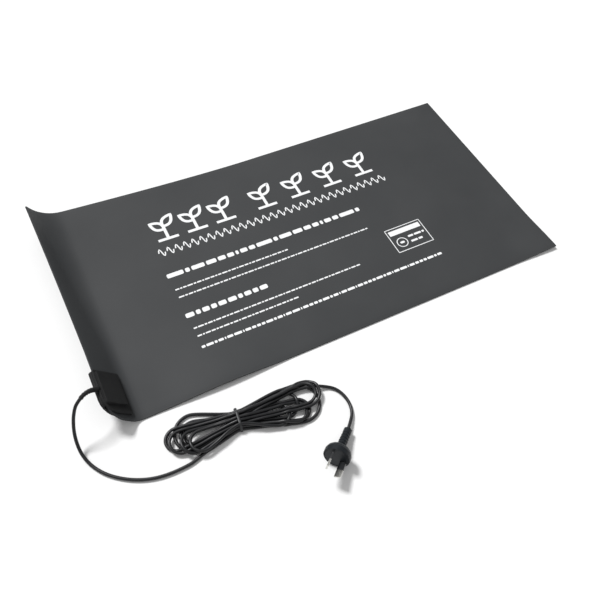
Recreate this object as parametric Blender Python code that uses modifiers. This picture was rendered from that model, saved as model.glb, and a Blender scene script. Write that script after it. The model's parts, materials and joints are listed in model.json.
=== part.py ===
"""Seedling heat mat: a thin flexible film heater with a junction box, cord, cord hank and two-pin plug.

Metres, +Z up. +X runs along the mat, away from the end that carries the junction box, and +Y across
it. The origin is at the middle of the flat underside. The mat has an end that stays curled up from
being rolled in its packing. A place on the mat is written as u, measured along it from the curled
end, and v, measured across it from the near edge, and every layer is laid on the same curved surface.
"""

import math

import bmesh
import bpy
from mathutils import Matrix, Vector

# Driving dimensions of the mat.
MAT_LENGTH = 0.525
MAT_WIDTH = 0.267
RIGHT_END_X = 0.255
BOX_CORNER_RADIUS = 0.020
EDGE_SEAL_WIDTH = 0.005
FILM_INSET = 0.010

# The curled end: a straight ramp, then an arc down to the flat.
RAMP_ANGLE = math.radians(52.0)
RAMP_ANGLE_GAIN = math.radians(7.0)
RAMP_LENGTH = 0.028
RAMP_LENGTH_LOSS = 0.024
CURL_END = 0.041
CURL_GROWTH_START = 0.075
FAR_LIFT = 0.015
FAR_LIFT_REACH = 0.258
NEAR_RIPPLE = (0.125, 0.080, 0.070, 0.0035)
CORNER_LIFT_REACH = 0.060
CORNER_LIFT = 0.0025

# Layers: height of the lower face above the underside, and thickness.
BOTTOM_COVER = (0.00000, 0.00050)
LOWER_FILM = (0.00058, 0.00014)
CARBON_GRID = (0.00080, 0.00008)
BUSBAR = (0.00096, 0.00010)
UPPER_FILM = (0.00114, 0.00014)
TOP_COVER = (0.00136, 0.00054)
EDGE_SEAL = (0.00058, 0.00070)

# The heater's layout. All layers share one lattice, so that they stay parallel where the mat curves.
STRIPE_START = 0.062
STRIPE_PITCH = 0.028
STRIPE_COLUMNS = 16
NEAR_BAR = (0.018, 0.026)
FAR_BAR = (0.243, 0.251)
RETURN_BAR = (0.036, 0.044)
LINK_STRIP = (0.048, 0.054)
TAIL_START = 0.005
WINDOW_DEPTH = 0.016
U_LINES = [0.0, 0.005, 0.010, 0.016, 0.020, 0.028, 0.031, 0.034, 0.0375, 0.041, 0.048, 0.054]
U_LINES += [STRIPE_START + STRIPE_PITCH * step for step in range(STRIPE_COLUMNS + 1)] + [0.515, 0.520, 0.525]
V_LINES = [0.0, 0.005, 0.010, 0.018, 0.026, 0.036, 0.044, 0.052, 0.075, 0.100, 0.130, 0.160, 0.190]
V_LINES += [0.218, 0.243, 0.251, 0.257, 0.262, 0.267]

# The junction box, in its own frame: x = u, y = v, z = height above the mat's underside.
BASE_TIER = ((-0.0030, 0.0290), (0.0055, 0.0515), (0.0016, 0.0040))
TOP_TIER = ((-0.0018, 0.0240), (0.0138, 0.0482), (0.0022, 0.0066))
LOWER_BLOCK = ((-0.0030, 0.0290), (0.0055, 0.0515), (-0.0026, 0.0013))
SHEET_SLOT_UPPER = ((-0.0005, 0.0400), (0.0000, 0.0600), (0.0000, 0.0022))
SHEET_SLOT_LOWER = ((-0.0005, 0.0400), (0.0000, 0.0600), (-0.0003, 0.0030))
CAVITY_UPPER = ((-0.0014, 0.0228), (0.0155, 0.0438), (0.0000, 0.0054))
CAVITY_LOWER = ((-0.0014, 0.0255), (0.0155, 0.0438), (-0.0014, 0.0030))
SHELL_CORNER_RADIUS = 0.0150
SHELL_EDGE_RADIUS = 0.0020
SCREW_PLACES = [(0.0085, 0.0095), (0.0230, 0.0095), (0.0085, 0.0476), (0.0230, 0.0476)]
SCREW_RADIUS = 0.0009
SCREW_HEAD_RADIUS = 0.0017
SCREW_CLEARANCE = 0.0003
COVER_HOLE_RADIUS = 0.0013
CORD_EXIT_Y = 0.0300
CORD_EXIT_Z = 0.0019
CORD_EXIT_HOLE_RADIUS = 0.0026
CLIP_WIDTH = 0.0045
BARREL_HEIGHT = 0.0029
FUSE_Y = 0.0312
FUSE_Z = 0.0037

# The cord.
CORD_RADIUS = 0.0016
CORE_RADIUS = 0.0006
JOINT_GAP = 0.0004
ROUTE_SPACING = 0.0105
BOOT_FLANGE, BOOT_NECK, BOOT_SHOULDER, BOOT_TIP = 0.0029, 0.0022, 0.0026, 0.0020
LEAD_ROUTE = [
    (-0.2740, -0.1102, 0.0391), (-0.2795, -0.1134, 0.0362), (-0.2838, -0.1176, 0.0305),
    (-0.2871, -0.1226, 0.0238), (-0.2895, -0.1284, 0.0166), (-0.2906, -0.1350, 0.0103),
    (-0.2902, -0.1432, 0.0052), (-0.2878, -0.1514, 0.0024), (-0.2842, -0.1588, 0.0017),
    (-0.2795, -0.1658, 0.0017), (-0.2736, -0.1723, 0.0017), (-0.2660, -0.1786, 0.0017),
    (-0.2572, -0.1842, 0.0017), (-0.2476, -0.1886, 0.0017), (-0.2372, -0.1916, 0.0017),
    (-0.2262, -0.1930, 0.0017), (-0.2150, -0.1931, 0.0017), (-0.2060, -0.1924, 0.0017),
]
TAIL_ROUTE = [
    (-0.0702, -0.1730, 0.0050), (-0.0650, -0.1752, 0.0032), (-0.0598, -0.1786, 0.0020),
    (-0.0548, -0.1832, 0.0017), (-0.0515, -0.1900, 0.0017), (-0.0500, -0.1985, 0.0017),
    (-0.0508, -0.2062, 0.0018), (-0.0538, -0.2132, 0.0026), (-0.0590, -0.2195, 0.0038),
]
BOOT_ROUTE = [
    (-0.2596, -0.1037, 0.0331), (-0.2618, -0.1044, 0.0355), (-0.2643, -0.1054, 0.0376),
    (-0.2673, -0.1067, 0.0391), (-0.2706, -0.1083, 0.0398), (-0.2738, -0.1101, 0.0392),
]

# The hank: a bundle of turns, tied at its waist. Half widths are at places along its own axis.
HANK_WAIST = (-0.1520, -0.1735)
HANK_TURN = math.radians(-7.6)
HANK_OUTLINE = [
    (-0.069, 0.000), (-0.062, 0.011), (-0.040, 0.0195), (-0.018, 0.0142), (0.000, 0.0106),
    (0.022, 0.0148), (0.050, 0.0196), (0.073, 0.0130), (0.081, 0.000),
]
HANK_HEIGHT = 0.0102
RESTING_GAP = 0.0001
TIE_GROOVE_DEPTH = 0.0014
TIE_GROOVE_CLEARANCE = 0.0004
TIE_WIDTH = 0.0030
TIE_THICKNESS = 0.0009
TIE_INNER = (0.0112, 0.0106)

# The plug, in its own frame: Z is the direction of the pins and z = 0 is the front face.
PLUG_RADIUS = 0.0125
PLUG_AZIMUTH = math.radians(-139.0)
PLUG_TILT = math.radians(14.0)
PLUG_ROLL = math.radians(-37.0)
PLUG_FRONT = (-0.0902, -0.2477, 0.0134)
PIN_SPREAD = 0.00686
PIN_RISE = 0.0024
PIN_LEAN = math.radians(-30.0)
PIN_SIZE = (0.00635, 0.0016, 0.0170)
SLEEVE_LENGTH = 0.0088
RELIEF_START = 0.0117
RELIEF_END = 0.0345
RELIEF_RADII = (0.0044, 0.0036)
RELIEF_GROOVES = 5
RELIEF_GROOVE_DEPTH = 0.0005


# ---------------------------------------------------------------- helpers

def clear_scene():
    """Empty the scene that the script is run in."""
    for item in list(bpy.data.objects):
        bpy.data.objects.remove(item, do_unlink=True)
    for group in list(bpy.data.collections):
        bpy.data.collections.remove(group)


def make_collection(name):
    group = bpy.data.collections.new(name)
    bpy.context.scene.collection.children.link(group)
    return group


def make_material(name, colour, roughness, metallic=0.0):
    material = bpy.data.materials.new(name)
    material.use_nodes = True
    shader = material.node_tree.nodes["Principled BSDF"]
    shader.inputs["Base Color"].default_value = (*colour, 1.0)
    shader.inputs["Roughness"].default_value = roughness
    shader.inputs["Metallic"].default_value = metallic
    material.diffuse_color = (*colour, 1.0)
    return material


def place(item, group, material=None, parent=None):
    """Put an object in its collection, give it a material and hang it on a frame."""
    for holder in list(item.users_collection):
        holder.objects.unlink(item)
    group.objects.link(item)
    if material is not None:
        item.data.materials.clear()
        item.data.materials.append(material)
    if parent is not None:
        item.parent = parent
    return item


def mesh_object(name, shape):
    mesh = bpy.data.meshes.new(name)
    shape.to_mesh(mesh)
    shape.free()
    return bpy.data.objects.new(name, mesh)


def box(name, spans):
    """A box between the spans given for x, y and z."""
    shape = bmesh.new()
    bmesh.ops.create_cube(shape, size=1.0)
    for vertex in shape.verts:
        for axis in range(3):
            low, high = spans[axis]
            vertex.co[axis] = (low + high) / 2 + vertex.co[axis] * (high - low)
    return mesh_object(name, shape)


def cylinder(name, radius, low, high, sides=20, top_radius=None):
    """A cylinder or a cone frustum on the Z axis."""
    shape = bmesh.new()
    top = radius if top_radius is None else top_radius
    bmesh.ops.create_cone(shape, cap_ends=True, segments=sides, radius1=radius, radius2=top,
                          depth=high - low, matrix=Matrix.Translation((0, 0, (low + high) / 2)))
    return mesh_object(name, shape)


def turned(name, profile, sides):
    """A turned piece about Z, from a closed profile of (radius, height) points."""
    mesh = bpy.data.meshes.new(name)
    points = [(radius, 0.0, height) for radius, height in profile]
    edges = [(index, index + 1) for index in range(len(points) - 1)]
    if profile[0][0] > 0.0:
        edges.append((len(points) - 1, 0))
    mesh.from_pydata(points, edges, [])
    item = bpy.data.objects.new(name, mesh)
    screw = item.modifiers.new("Turn", "SCREW")
    screw.angle = math.tau
    screw.steps = sides
    screw.render_steps = sides
    screw.use_merge_vertices = True
    screw.merge_threshold = 0.00002
    return item


def wire(name, points, radius, radii=None, resolution=2):
    """A round wire or tube through points, as a poly curve with filled caps."""
    curve = bpy.data.curves.new(name, "CURVE")
    curve.dimensions = "3D"
    curve.bevel_depth = radius
    curve.bevel_resolution = resolution
    curve.use_fill_caps = True
    spline = curve.splines.new("POLY")
    spline.points.add(len(points) - 1)
    for index, point in enumerate(points):
        spline.points[index].co = (*point, 1.0)
        spline.points[index].radius = 1.0 if radii is None else radii[index]
    return bpy.data.objects.new(name, curve)


def smooth_route(points, spacing):
    """Points at about the given spacing on a smooth curve through the route's own points."""
    knots = [Vector(point) for point in points]
    knots = [2 * knots[0] - knots[1]] + knots + [2 * knots[-1] - knots[-2]]
    route = [knots[1]]
    for index in range(1, len(knots) - 2):
        before, start, end, after = knots[index - 1:index + 3]
        count = max(1, round((end - start).length / spacing))
        for step in range(1, count + 1):
            t = step / count
            route.append(0.5 * (2 * start + (end - before) * t
                                + (2 * before - 5 * start + 4 * end - after) * t ** 2
                                + (3 * start - before - 3 * end + after) * t ** 3))
    return route


def cut(item, cutter, operation="DIFFERENCE"):
    modifier = item.modifiers.new("Cut", "BOOLEAN")
    modifier.operation = operation
    modifier.solver = "EXACT"
    modifier.object = cutter
    return modifier


def bevel(item, width, segments=2, angle=40.0):
    modifier = item.modifiers.new("Bevel", "BEVEL")
    modifier.width = width
    modifier.segments = segments
    modifier.limit_method = "ANGLE"
    modifier.angle_limit = math.radians(angle)
    modifier.use_clamp_overlap = True
    return modifier


def cutter_object(item, group, parent=None):
    place(item, group, parent=parent)
    item.hide_render = True
    item.display_type = "WIRE"
    return item


# ---------------------------------------------------------------- the mat's surface

def ease(value):
    value = min(1.0, max(0.0, value))
    return value * value * (3.0 - 2.0 * value)


def curl(u, growth):
    """Distance left along X from the end of the curl, and height, at u."""
    angle = RAMP_ANGLE + RAMP_ANGLE_GAIN * growth
    ramp = RAMP_LENGTH - RAMP_LENGTH_LOSS * growth
    radius = (CURL_END - ramp) / angle
    turned_by = angle * min(1.0, (CURL_END - u) / (CURL_END - ramp))
    straight = max(0.0, ramp - u)
    along = radius * math.sin(turned_by) + straight * math.cos(angle)
    height = radius * (1.0 - math.cos(turned_by)) + straight * math.sin(angle)
    return along, height


def mat_point(u, v):
    """A point of the mat's underside."""
    growth = max(0.0, (v - CURL_GROWTH_START) / (MAT_WIDTH - CURL_GROWTH_START))
    x, z = u, 0.0
    if u < CURL_END:
        along, z = curl(u, growth)
        x = CURL_END - along
    z += FAR_LIFT * max(0.0, 1.0 - u / FAR_LIFT_REACH) ** 1.5 * growth ** 1.4
    place_u, reach_u, reach_v, height = NEAR_RIPPLE
    z += height * ease(1.0 - abs(u - place_u) / reach_u) * ease(1.0 - v / reach_v)
    z += CORNER_LIFT * ease(1.0 - math.hypot(MAT_LENGTH - u, v) / CORNER_LIFT_REACH)
    return Vector((x - MAT_LENGTH + RIGHT_END_X, v - MAT_WIDTH / 2, z))


def mat_normal(u, v):
    step = 0.0002
    along = mat_point(u + step, v) - mat_point(u - step, v)
    across = mat_point(u, v + step) - mat_point(u, v - step)
    return along.cross(across).normalized()


def round_box_corner(u, v):
    """Pull the square corner at the junction box in to its round outline."""
    if u >= BOX_CORNER_RADIUS or v >= BOX_CORNER_RADIUS:
        return u, v
    a = 1.0 - u / BOX_CORNER_RADIUS
    b = 1.0 - v / BOX_CORNER_RADIUS
    a_round = a * math.sqrt(1.0 - b * b / 2)
    b_round = b * math.sqrt(1.0 - a * a / 2)
    return BOX_CORNER_RADIUS * (1.0 - a_round), BOX_CORNER_RADIUS * (1.0 - b_round)


def layer(name, level, keep):
    """One layer of the mat: the lattice cells that keep(u, v) accepts, thickened upward."""
    low, thickness = level
    shape = bmesh.new()
    corners = {}

    def corner(i, j):
        if (i, j) not in corners:
            u, v = round_box_corner(U_LINES[i], V_LINES[j])
            corners[i, j] = shape.verts.new(mat_point(u, v) + mat_normal(u, v) * low)
        return corners[i, j]

    for i in range(len(U_LINES) - 1):
        for j in range(len(V_LINES) - 1):
            if not keep((U_LINES[i] + U_LINES[i + 1]) / 2, (V_LINES[j] + V_LINES[j + 1]) / 2):
                continue
            a, b, c, d = corner(i, j), corner(i + 1, j), corner(i + 1, j + 1), corner(i, j + 1)
            shape.faces.new((a, b, c))
            shape.faces.new((a, c, d))
    item = mesh_object(name, shape)
    solid = item.modifiers.new("Thickness", "SOLIDIFY")
    solid.thickness = thickness
    solid.offset = 1.0
    return item


def inside(value, span):
    return span[0] < value < span[1]


def in_window(u, v):
    """The window in the covers, under the junction box, where the film's tail is bare."""
    return u < WINDOW_DEPTH and inside(v, (NEAR_BAR[0], RETURN_BAR[1]))


def in_edge(u, v, edge):
    return u < edge or v < edge or u > MAT_LENGTH - edge or v > MAT_WIDTH - edge


def in_tail(u, v):
    return u < RAMP_LENGTH and inside(v, (NEAR_BAR[0], RETURN_BAR[1]))


def keep_cover(u, v):
    return not in_window(u, v)


def keep_seal(u, v):
    return in_edge(u, v, EDGE_SEAL_WIDTH) and not in_window(u, v)


def keep_lower_film(u, v):
    if u < RAMP_LENGTH and v < 0.075:
        return in_tail(u, v) and u > TAIL_START
    return not in_edge(u, v, FILM_INSET)


def keep_upper_film(u, v):
    return keep_lower_film(u, v) and not in_window(u, v)


def keep_carbon(u, v):
    end = STRIPE_START + STRIPE_PITCH * STRIPE_COLUMNS
    if not inside(u, (STRIPE_START, end)) or not inside(v, (NEAR_BAR[0], FAR_BAR[1])):
        return False
    rail = v < NEAR_BAR[1] or v > FAR_BAR[0]
    return rail or int((u - STRIPE_START) / STRIPE_PITCH) % 2 == 0


def keep_near_bar(u, v):
    end = STRIPE_START + STRIPE_PITCH * STRIPE_COLUMNS
    return inside(v, NEAR_BAR) and inside(u, (TAIL_START, end))


def keep_far_bar(u, v):
    end = STRIPE_START + STRIPE_PITCH * STRIPE_COLUMNS
    along = inside(v, FAR_BAR) and inside(u, (LINK_STRIP[0], end))
    link = inside(u, LINK_STRIP) and inside(v, (RETURN_BAR[0], FAR_BAR[1]))
    back = inside(v, RETURN_BAR) and inside(u, (TAIL_START, LINK_STRIP[1]))
    return along or link or back


def build_mat(group, cutters, frame, materials):
    pieces = [
        ("bottom_cover", BOTTOM_COVER, keep_cover, "vinyl"),
        ("edge_seal", EDGE_SEAL, keep_seal, "seal"),
        ("lower_film", LOWER_FILM, keep_lower_film, "film"),
        ("carbon_heating_grid", CARBON_GRID, keep_carbon, "carbon"),
        ("near_busbar", BUSBAR, keep_near_bar, "copper"),
        ("far_busbar", BUSBAR, keep_far_bar, "copper"),
        ("upper_film", UPPER_FILM, keep_upper_film, "film"),
        ("top_cover", TOP_COVER, keep_cover, "vinyl"),
    ]
    items = {name: place(layer(name, level, keep), group, materials[material])
             for name, level, keep, material in pieces}
    for index, (x, y) in enumerate(SCREW_PLACES):
        drill = cylinder(f"mat_screw_hole_{index + 1}", COVER_HOLE_RADIUS, -0.002, 0.004, 12)
        drill.location = (x, y, 0.0)
        cutter_object(drill, cutters, frame)
        cut(items["bottom_cover"], drill)
        cut(items["top_cover"], drill)


# ---------------------------------------------------------------- the junction box

def box_frame(group):
    """The frame on the ramp: x runs down the mat, y across it and z away from it."""
    frame = bpy.data.objects.new("junction_frame", None)
    group.objects.link(frame)
    frame.location = mat_point(0.0, 0.0)
    frame.rotation_euler = (0.0, RAMP_ANGLE, 0.0)
    return frame


def rounded_block(name, spans, near_radius, radius):
    """A block whose upright edges are rounded, most at the mat's round corner."""
    item = box(name, spans)
    shape = bmesh.new()
    shape.from_mesh(item.data)
    low_x, low_y = spans[0][0], spans[1][0]
    for width, at_corner in ((near_radius, True), (radius, False)):
        upright = []
        for edge in shape.edges:
            a, b = (vertex.co for vertex in edge.verts)
            corner = abs(a.x - low_x) < 1e-6 and abs(a.y - low_y) < 1e-6
            if abs(a.z - b.z) > 1e-6 and (a - b).xy.length < 1e-6 and corner == at_corner:
                upright.append(edge)
        if not at_corner:
            upright = [edge for edge in upright if edge.calc_face_angle() > math.radians(60)]
        bmesh.ops.bevel(shape, geom=upright, offset=width, segments=5 if at_corner else 3,
                        profile=0.5, affect="EDGES", clamp_overlap=True)
    shape.to_mesh(item.data)
    shape.free()
    return item


def build_shells(group, cutters, frame, materials):
    upper = rounded_block("junction_upper_shell", BASE_TIER, SHELL_CORNER_RADIUS, SHELL_EDGE_RADIUS)
    tier = rounded_block("upper_tier_shape", TOP_TIER, 0.0025, 0.0015)
    cutter_object(tier, cutters, frame)
    lower = rounded_block("junction_lower_shell", LOWER_BLOCK, SHELL_CORNER_RADIUS, SHELL_EDGE_RADIUS)
    exit_drill = cylinder("cord_exit_hole", CORD_EXIT_HOLE_RADIUS, -0.0040, -0.0010, 20)
    exit_drill.rotation_euler = (0.0, math.pi / 2, 0.0)
    exit_drill.location = (0.0, CORD_EXIT_Y, CORD_EXIT_Z)
    cutter_object(exit_drill, cutters, frame)
    cavity = {}
    for name, spans in (("sheet_slot_upper", SHEET_SLOT_UPPER), ("cavity_upper", CAVITY_UPPER),
                        ("sheet_slot_lower", SHEET_SLOT_LOWER), ("cavity_lower", CAVITY_LOWER)):
        cavity[name] = cutter_object(box(name, spans), cutters, frame)
    place(upper, group, materials["shell"], frame)
    cut(upper, tier, "UNION")
    bevel(upper, 0.0006)
    cut(upper, cavity["sheet_slot_upper"])
    cut(upper, cavity["cavity_upper"])
    cut(upper, exit_drill)
    place(lower, group, materials["shell"], frame)
    bevel(lower, 0.0010)
    cut(lower, cavity["sheet_slot_lower"])
    cut(lower, cavity["cavity_lower"])
    cut(lower, exit_drill)
    return upper, lower


def build_screws(group, cutters, frame, materials, upper, lower):
    """Four countersunk screws, driven from below through the covers into the upper shell."""
    gap = SCREW_CLEARANCE
    head_low, head_high, tip = -0.0023, -0.0011, 0.0034
    for index, (x, y) in enumerate(SCREW_PLACES):
        profile = [(0.0, tip), (SCREW_RADIUS * 0.7, tip), (SCREW_RADIUS, tip - 0.0004),
                   (SCREW_RADIUS, head_high), (SCREW_HEAD_RADIUS, head_low + 0.0002),
                   (SCREW_HEAD_RADIUS, head_low), (0.0, head_low)]
        screw = turned(f"junction_screw_{index + 1}", profile, 12)
        screw.location = (x, y, 0.0)
        place(screw, group, materials["steel"], frame)
        hole = [(0.0, tip + gap), (SCREW_RADIUS + gap, tip + gap), (SCREW_RADIUS + gap, head_high + gap),
                (SCREW_HEAD_RADIUS + gap, head_low + gap), (SCREW_HEAD_RADIUS + gap, -0.0040),
                (0.0, -0.0040)]
        drill = turned(f"screw_hole_{index + 1}", hole, 12)
        drill.location = (x, y, 0.0)
        cutter_object(drill, cutters, frame)
        cut(upper, drill)
        cut(lower, drill)


def build_clip(name, y_low, group, cutters, frame, material):
    """A terminal clip: a U that grips the film's bare tail, with a crimp barrel on top."""
    y_high = y_low + CLIP_WIDTH
    clip = box(name, ((0.0040, 0.0100), (y_low, y_high), (-0.0001, 0.0018)))
    throat = box(name + "_throat", ((0.0046, 0.0110), (y_low - 0.001, y_high + 0.001),
                                    (0.00028, 0.00136)))
    barrel = cylinder(name + "_barrel", 0.0013, 0.0046, 0.0094, 14)
    bore = cylinder(name + "_bore", 0.0009, 0.0036, 0.0110, 12)
    for shape in (barrel, bore):
        shape.rotation_euler = (0.0, math.pi / 2, 0.0)
        shape.location = (0.0, (y_low + y_high) / 2, BARREL_HEIGHT)
    for shape in (throat, barrel, bore):
        cutter_object(shape, cutters, frame)
    cut(clip, barrel, "UNION")
    cut(clip, bore)
    cut(clip, throat)
    place(clip, group, material, frame)


def build_box_inside(group, cutters, frame, materials):
    build_clip("near_terminal_clip", 0.0202, group, cutters, frame, materials["brass"])
    build_clip("far_terminal_clip", 0.0378, group, cutters, frame, materials["brass"])
    fuse = cylinder("thermal_fuse", 0.0013, 0.0115, 0.0185, 16)
    fuse.rotation_euler = (0.0, math.pi / 2, 0.0)
    fuse.location = (0.0, FUSE_Y, FUSE_Z)
    bevel(fuse, 0.0003, 1)
    place(fuse, group, materials["tin"], frame)
    neutral = [(0.0014, 0.0290, 0.0020), (0.0022, 0.0286, 0.0022), (0.0029, 0.0270, 0.0026),
               (0.0029, 0.0250, 0.0029), (0.0033, 0.0233, 0.0029), (0.0046, 0.02245, 0.0029),
               (0.0088, 0.02245, 0.0029)]
    live = [(0.0014, 0.0310, 0.0022), (0.0030, 0.0312, 0.0024), (0.0060, 0.0312, 0.0031),
            (0.0085, 0.0312, 0.0036), (0.0112, FUSE_Y, FUSE_Z)]
    fuse_lead = [(0.0188, FUSE_Y, FUSE_Z), (0.0202, 0.0318, 0.0037), (0.0212, 0.0334, 0.0036),
                 (0.0214, 0.0358, 0.0034), (0.0206, 0.0382, 0.0031), (0.0187, 0.0397, 0.0029),
                 (0.0158, 0.04005, 0.0029), (0.0055, 0.04005, 0.0029)]
    for name, points, material in (("neutral_core", neutral, "core_blue"),
                                   ("live_core", live, "core_brown"),
                                   ("fuse_lead", fuse_lead, "core_brown")):
        place(wire(name, points, CORE_RADIUS), group, materials[material], frame)


def build_boot(group, frame, materials):
    """The tapered strain relief, flanged inside the wall, which bends with the cord."""
    inner = [(0.0010, BOOT_FLANGE), (-0.0010, BOOT_FLANGE), (-0.0011, BOOT_NECK), (-0.0033, BOOT_NECK),
             (-0.0034, BOOT_SHOULDER), (-0.0044, BOOT_SHOULDER)]
    turn = Matrix.Translation(frame.location) @ Matrix.Rotation(RAMP_ANGLE, 4, "Y")
    points = [turn @ Vector((x, CORD_EXIT_Y, CORD_EXIT_Z)) for x, _ in inner]
    sizes = [size for _, size in inner]
    outer = [Vector(point) for point in BOOT_ROUTE]
    for index, point in enumerate(outer[1:], start=1):
        points.append(point)
        sizes.append(BOOT_SHOULDER + (BOOT_TIP - BOOT_SHOULDER) * index / (len(outer) - 1))
    boot = wire("junction_strain_relief", points, 1.0, sizes, 3)
    place(boot, group, materials["shell"])


# ---------------------------------------------------------------- cord, hank and tie

def end_trimmed(points, start_gap, end_gap):
    """Shorten a route at both ends, so that it stops short of what it meets."""
    first = points[0] + (points[1] - points[0]).normalized() * start_gap
    last = points[-1] + (points[-2] - points[-1]).normalized() * end_gap
    return [first] + points[1:-1] + [last]


def plug_matrix():
    turn = Matrix.Rotation(PLUG_AZIMUTH, 4, "Z") @ Matrix.Rotation(math.pi / 2 - PLUG_TILT, 4, "Y")
    return Matrix.Translation(PLUG_FRONT) @ turn @ Matrix.Rotation(math.pi / 2 + PLUG_ROLL, 4, "Z")


def build_cord(group, materials):
    lead = smooth_route(LEAD_ROUTE, ROUTE_SPACING)
    place(wire("supply_cord_lead", end_trimmed(lead, JOINT_GAP, 0.0), CORD_RADIUS),
          group, materials["cord"])
    relief_end = plug_matrix() @ Vector((0.0, 0.0, -RELIEF_END))
    tail = smooth_route(TAIL_ROUTE + [tuple(relief_end)], ROUTE_SPACING)
    place(wire("supply_cord_tail", end_trimmed(tail, 0.0, JOINT_GAP), CORD_RADIUS),
          group, materials["cord"])


def hank_matrix(height):
    return Matrix.Translation((*HANK_WAIST, height)) @ Matrix.Rotation(HANK_TURN, 4, "Z")


def build_hank(group, cutters, materials):
    """The outer shape of the bundled turns, grooved under its waist for the tie."""
    curve = bpy.data.curves.new("hank_outline", "CURVE")
    curve.dimensions = "2D"
    curve.fill_mode = "BOTH"
    curve.extrude = HANK_HEIGHT / 2 - RESTING_GAP
    spline = curve.splines.new("BEZIER")
    loop = HANK_OUTLINE + [(x, -y) for x, y in reversed(HANK_OUTLINE[1:-1])]
    spline.bezier_points.add(len(loop) - 1)
    for point, (x, y) in zip(spline.bezier_points, loop):
        point.co = (x, y, 0.0)
        point.handle_left_type = "AUTO"
        point.handle_right_type = "AUTO"
    spline.use_cyclic_u = True
    spline.resolution_u = 4
    outline = bpy.data.objects.new("hank_outline", curve)
    place(outline, group)
    outline.matrix_world = hank_matrix(HANK_HEIGHT / 2)
    bpy.context.view_layer.update()
    mesh = bpy.data.meshes.new_from_object(outline.evaluated_get(bpy.context.evaluated_depsgraph_get()))
    shape = bmesh.new()
    shape.from_mesh(mesh)
    bmesh.ops.remove_doubles(shape, verts=shape.verts, dist=0.00001)
    shape.to_mesh(mesh)
    shape.free()
    hank = bpy.data.objects.new("supply_cord_hank", mesh)
    place(hank, group, materials["cord"])
    hank.matrix_world = outline.matrix_world.copy()
    bpy.data.objects.remove(outline, do_unlink=True)
    reach = TIE_WIDTH / 2 + TIE_GROOVE_CLEARANCE
    groove = box("tie_groove", ((-reach, reach), (-0.0300, 0.0300), (-0.0100, TIE_GROOVE_DEPTH)))
    groove.matrix_world = hank_matrix(0.0)
    cutter_object(groove, cutters)
    cut(hank, groove)


def build_tie(group, cutters, materials):
    """A flat tie around the waist, with its head on the far side."""
    half_width, top = TIE_INNER
    low = TIE_THICKNESS + RESTING_GAP
    thick = TIE_THICKNESS
    reach = TIE_WIDTH / 2
    tie = box("hank_tie", ((-reach, reach), (-half_width - thick, half_width + thick),
                           (low - thick, top + thick)))
    hole = box("tie_inside", ((-0.01, 0.01), (-half_width, half_width), (low, top)))
    head = box("tie_head", ((-0.0022, 0.0022), (half_width + 0.0002, half_width + 0.0030),
                            (0.0052, 0.0092)))
    for item in (tie, hole, head):
        item.matrix_world = hank_matrix(0.0)
    cutter_object(hole, cutters)
    cutter_object(head, cutters)
    cut(tie, head, "UNION")
    cut(tie, hole)
    place(tie, group, materials["tie"])


# ---------------------------------------------------------------- the plug

def build_plug_body(group, cutters, frame, materials):
    """A cup that is open at the front, where the pin bridge closes it."""
    radius = PLUG_RADIUS
    profile = [(0.0114, 0.0), (radius - 0.0004, 0.0), (radius, -0.0006), (radius, -0.0050),
               (radius - 0.0010, -0.0078), (0.0098, -0.0098), (0.0062, -0.0112), (0.0024, -0.0114),
               (0.0024, -0.0080), (0.0090, -0.0074), (0.0114, -0.0056)]
    body = turned("plug_body", profile, 32)
    place(body, group, materials["plug"], frame)
    bridge = cylinder("plug_pin_bridge", 0.0111, -0.0024, -0.0001, 32)
    bevel(bridge, 0.0002, 1)
    place(bridge, group, materials["plug"], frame)
    return bridge


def relief_radius(depth):
    """The relief's radius between its grooves, at a depth behind the plug's face."""
    wide, narrow = RELIEF_RADII
    return wide + (narrow - wide) * (depth - RELIEF_START) / (RELIEF_END - RELIEF_START)


def build_plug_relief(group, frame, materials):
    """The tapered strain relief behind the plug, with grooves that let it bend."""
    start, end = RELIEF_START, RELIEF_END
    profile = [(0.0, -start), (RELIEF_RADII[0] - 0.0001, -start), (relief_radius(start), -start - 0.0006)]
    pitch = (end - start - 0.0060) / RELIEF_GROOVES
    for index in range(RELIEF_GROOVES):
        depth = start + 0.0020 + pitch * index
        radius = relief_radius(depth)
        profile += [(radius, -depth), (radius - RELIEF_GROOVE_DEPTH, -depth - 0.0005),
                    (radius - RELIEF_GROOVE_DEPTH, -depth - 0.0012), (radius, -depth - 0.0017)]
    profile += [(RELIEF_RADII[1] + 0.0003, -end + 0.0008), (RELIEF_RADII[1] - 0.0005, -end), (0.0, -end)]
    relief = turned("plug_strain_relief", profile, 20)
    place(relief, group, materials["plug"], frame)


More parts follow.
